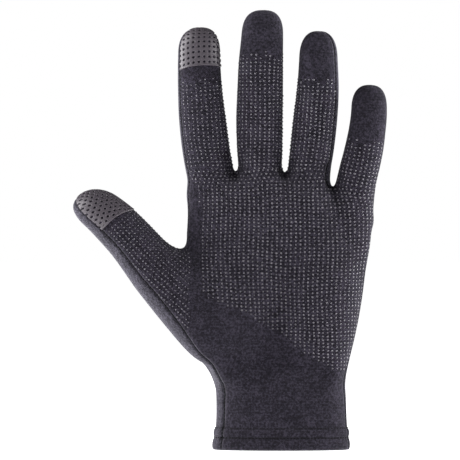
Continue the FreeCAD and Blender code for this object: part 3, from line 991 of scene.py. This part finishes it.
def refine(points, faces):
    """Divides every triangle into four."""
    pairs = np.sort(np.vstack([faces[:, [0, 1]], faces[:, [1, 2]], faces[:, [2, 0]]]), axis=1)
    unique, inverse = np.unique(pairs, axis=0, return_inverse=True)
    middle = len(points) + inverse.ravel().reshape(3, -1)
    ab, bc, ca = middle
    a, b, c = faces.T
    points = np.vstack([points, (points[unique[:, 0]] + points[unique[:, 1]]) / 2])
    faces = np.vstack([np.stack(t, 1) for t in ((a, ab, ca), (ab, b, bc), (ca, bc, c), (ab, bc, ca))])
    return points, faces


def along_dome(s, shoulder, length):
    """Distance along a fingertip, measured over its rounded end."""
    past = np.clip((s - shoulder) / length, 0, 0.999)
    return np.where(s > shoulder, shoulder + length * np.arcsin(past), s)


def index_grid(p):
    centre = FINGERS["index"].section(p[:, 2])[0]
    u = 10.0 * np.arcsin(np.clip((p[:, 0] - centre) / 11.6, -0.999, 0.999))
    edge = p[:, 2] - INDEX_EDGE(p[:, 0])[0]
    v = along_dome(p[:, 2], 202.5, 13.0) - INDEX_EDGE(p[:, 0])[0]
    return edge, u / HOLE_PITCH["index"][0], (v - 1.9) / HOLE_PITCH["index"][1], 0.0


def thumb_grid(p):
    across, depth, s = THUMB.local(p).T
    centre = THUMB.section(s)[0]
    c, t = math.cos(math.radians(THUMB_ROLL)), math.sin(math.radians(THUMB_ROLL))
    width = c * (across - centre) + t * depth
    u = 11.0 * np.arcsin(np.clip(width / 12.6, -0.999, 0.999)) + 0.6
    edge = s - THUMB_EDGE(across)[0]
    return edge, (along_dome(s, 40.5, 13.2) - 34.6) / HOLE_PITCH["thumb"][0], u / HOLE_PITCH["thumb"][1], 0.5


def make_patch(name, grid):
    tip = len(SEGMENTS[name]) - 1
    used, faces = take(is_palm & (section == PIECES.index((name, tip))))
    points = vertices[used]
    points, faces, edge = cut(points, faces, grid(points)[0], np.ones(len(faces), bool))
    faces = faces[grid(points[faces].mean(1))[0] > 0]
    for _ in range(2):
        points, faces = refine(points, faces)
    used, faces = np.unique(faces, return_inverse=True)
    points, faces = settle(points[used], 1), faces.reshape(-1, 3)
    edge, across, up, stagger = grid(points)
    row = np.round(up)
    shift = stagger * (row % 2)
    column = np.round(across - shift)
    du, dv = across - shift - column, up - row
    away = np.hypot(du * HOLE_PITCH[name][0], dv * HOLE_PITCH[name][1])
    side = seam_value(points, np.stack(parts_at(points)))
    hole = np.clip((HOLE_RADIUS - away) / 0.16, 0, 1) * (edge > 0.95)
    rim = RIM_LIFT * np.exp(-((edge - 0.45) / 0.3) ** 2)
    shoulder = np.clip(edge / 0.25, 0, 1) * np.clip((side - 0.1) / 0.5, 0, 1)
    lift = (PATCH_LIFT + rim) * shoulder - HOLE_DEPTH * hole - 0.03
    raised = points + unit(gradient(points)) * lift[:, None]
    smooth = vertex_normals(raised, faces)
    piece = mesh_object(f"touch_patch_on_{name}", raised, faces, LEATHER, smooth, {"hole": hole})
    bend(piece)
    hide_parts(f"touch_patch_{name}")


make_patch("index", index_grid)
make_patch("thumb", thumb_grid)


# ---------------- stage, light and camera

def make_stage():
    """A pale floor, glowing a little so that it meets the white surroundings."""
    n = Nodes("stage")
    n.set(Base_Color=(0.9, 0.9, 0.9, 1.0), Roughness=0.9, Specular_IOR_Level=0.1, Emission_Strength=1.0)
    n.shader.inputs["Emission Color"].default_value = (1.0, 1.0, 1.0, 1.0)
    half = 12000.0                        # far enough to fill the picture from any side
    points = [(-half, -half, 0.0), (half, -half, 0.0), (half, half, 0.0), (-half, half, 0.0)]
    mesh_object("studio_floor", points, [(0, 1, 2, 3)], n.material)


def area_light(name, where, aim, size, power):
    light = bpy.data.lights.new(name, "AREA")
    light.shape = "RECTANGLE"
    light.size, light.size_y = size
    light.energy = power
    lamp = bpy.data.objects.new(name, light)
    bpy.context.collection.objects.link(lamp)
    lamp.location = Vector(where)
    lamp.rotation_euler = (Vector(aim) - Vector(where)).to_track_quat("-Z", "Y").to_euler()


make_stage()
TARGET = (-0.0261, 0.0, 0.1122)           # the middle of the picture, in metres
area_light("left softbox", (-1.05, -0.05, 0.25), TARGET, (0.45, 0.9), 24.0)
area_light("left top light", (-0.80, -0.35, 0.85), TARGET, (0.45, 0.45), 8.0)
area_light("right softbox", (1.00, -0.05, 0.25), TARGET, (0.45, 0.9), 26.0)
area_light("right back light", (0.90, 0.45, 0.20), TARGET, (0.45, 0.9), 5.0)
world = bpy.data.worlds.new("studio")          # white to look at, and nearly dark as a light
world.use_nodes = True
background = world.node_tree.nodes["Background"]
background.inputs[0].default_value = (1.0, 1.0, 1.0, 1.0)
path = world.node_tree.nodes.new("ShaderNodeLightPath")
strength = world.node_tree.nodes.new("ShaderNodeMapRange")
strength.inputs["To Min"].default_value = 0.03
strength.inputs["To Max"].default_value = 1.0
world.node_tree.links.new(path.outputs["Is Camera Ray"], strength.inputs["Value"])
world.node_tree.links.new(strength.outputs[0], background.inputs[1])
bpy.context.scene.world = world
bpy.context.scene.view_settings.view_transform = "Standard"

LENS, SENSOR = 320.0, 36.0
PICTURE_WIDTH = 0.2352                    # of the plane through TARGET, in metres
camera = bpy.data.cameras.new("camera")
camera.lens = LENS
camera.sensor_width = SENSOR
camera.clip_end = 40.0
view = bpy.data.objects.new("camera", camera)
bpy.context.collection.objects.link(view)
view.location = (TARGET[0], -PICTURE_WIDTH / SENSOR * LENS, TARGET[2])
view.rotation_euler = (math.pi / 2, 0.0, 0.0)
bpy.context.scene.camera = view
